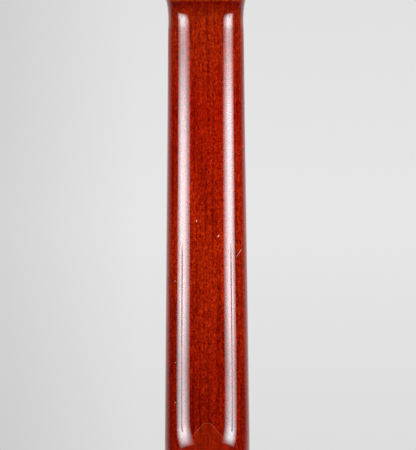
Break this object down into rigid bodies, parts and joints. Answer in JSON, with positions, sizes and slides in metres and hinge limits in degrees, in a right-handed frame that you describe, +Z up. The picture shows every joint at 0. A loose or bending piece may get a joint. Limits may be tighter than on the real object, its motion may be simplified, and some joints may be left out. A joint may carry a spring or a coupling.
{
  "type": "appalachian dulcimer",
  "caption": "Hourglass fretted dulcimer with a guitar-style neck, raised diatonic fretboard, heart sound holes and geared tuners.",
  "frame": {"origin": "lowest point of the end pin, on the centre line, at mid-depth of the body", "axes": "+Z up the neck towards the head, -Y out of the soundboard and strings, +Y out of the back, +X towards the melody strings"},
  "size_m": [0.175, 0.0702, 0.8651],
  "materials": {
    "mahogany": "deep cherry-red gloss",
    "mahogany_sides": "deep cherry-red gloss",
    "rosewood": "oiled satin",
    "spruce": "amber gloss",
    "riser_wood": "deep cherry-red gloss",
    "inner_wood": "bare",
    "binding": "gloss",
    "bone": "polished",
    "pearl": "polished",
    "fret_wire": "polished",
    "nickel": "polished nickel plate",
    "steel": "plain",
    "gear_brass": "satin",
    "button_plastic": "polished",
    "string_steel": "plain wire",
    "string_wound": "wound bronze",
    "pin_wood": "polished"
  },
  "bodies": {
    "root": {"neck_shaft": "mahogany", "headstock": "mahogany", "headstock_overlay": "rosewood", "heel_block": "mahogany", "heel_cap": "rosewood", "neck_bar": "steel", "fretboard": "rosewood", "fretboard_riser": "riser_wood", "frets": "fret_wire", "nut": "bone", "position_dots": "pearl", "saddle": "bone", "tail_strip": "bone", "soundboard": "spruce", "back_plate": "mahogany_sides", "side_bass": "mahogany_sides", "side_treble": "mahogany_sides", "binding_front": "binding", "binding_back": "binding", "linings_front": "inner_wood", "linings_back": "inner_wood", "neck_block": "inner_wood", "tail_block": "inner_wood", "top_braces": "inner_wood", "back_braces": "inner_wood", "end_pin": "pin_wood", "hitch_pins": "steel", "neck_bolts": "steel", "tuner_bushings": "nickel", "tuner_screws": "nickel", "tuner_plate_1": "nickel", "tuner_plate_2": "nickel", "tuner_plate_3": "nickel", "tuner_plate_4": "nickel", "string_melody_outer": "string_steel", "string_melody_inner": "string_steel", "string_middle": "string_steel", "string_bass": "string_wound"},
    "key_1": {"tuner_worm_1": "nickel", "tuner_button_1": "button_plastic"},
    "post_1": {"tuner_post_1": "nickel", "tuner_gear_1": "gear_brass", "string_winding_1": "string_steel"},
    "key_2": {"tuner_worm_2": "nickel", "tuner_button_2": "button_plastic"},
    "post_2": {"tuner_post_2": "nickel", "tuner_gear_2": "gear_brass", "string_winding_2": "string_steel"},
    "key_3": {"tuner_worm_3": "nickel", "tuner_button_3": "button_plastic"},
    "post_3": {"tuner_post_3": "nickel", "tuner_gear_3": "gear_brass", "string_winding_3": "string_wound"},
    "key_4": {"tuner_worm_4": "nickel", "tuner_button_4": "button_plastic"},
    "post_4": {"tuner_post_4": "nickel", "tuner_gear_4": "gear_brass", "string_winding_4": "string_steel"}
  },
  "joints": [
    {"name": "post_turn_1", "type": "hinge", "parent": "root", "child": "post_1", "pos_m": [0.02, -0.0168, 0.78875], "axis": [0, 0.9744, -0.225], "continuous": true},
    {"name": "key_turn_1", "type": "hinge", "parent": "root", "child": "key_1", "pos_m": [0.02, 0.00233, 0.77695], "axis": [1, 0, 0], "continuous": true},
    {"name": "post_turn_2", "type": "hinge", "parent": "root", "child": "post_2", "pos_m": [0.02, -0.00781, 0.82773], "axis": [0, 0.9744, -0.225], "continuous": true},
    {"name": "key_turn_2", "type": "hinge", "parent": "root", "child": "key_2", "pos_m": [0.02, 0.01133, 0.81592], "axis": [1, 0, 0], "continuous": true},
    {"name": "post_turn_3", "type": "hinge", "parent": "root", "child": "post_3", "pos_m": [-0.02, -0.0168, 0.78875], "axis": [0, 0.9744, -0.225], "continuous": true},
    {"name": "key_turn_3", "type": "hinge", "parent": "root", "child": "key_3", "pos_m": [-0.02, 0.00233, 0.77695], "axis": [-1, 0, 0], "continuous": true},
    {"name": "post_turn_4", "type": "hinge", "parent": "root", "child": "post_4", "pos_m": [-0.02, -0.00781, 0.82773], "axis": [0, 0.9744, -0.225], "continuous": true},
    {"name": "key_turn_4", "type": "hinge", "parent": "root", "child": "key_4", "pos_m": [-0.02, 0.01133, 0.81592], "axis": [-1, 0, 0], "continuous": true}
  ],
  "couplings": [
    {"joint": "key_turn_1", "follows": "post_turn_1", "ratio": 14},
    {"joint": "key_turn_2", "follows": "post_turn_2", "ratio": 14},
    {"joint": "key_turn_3", "follows": "post_turn_3", "ratio": 14},
    {"joint": "key_turn_4", "follows": "post_turn_4", "ratio": 14}
  ]
}
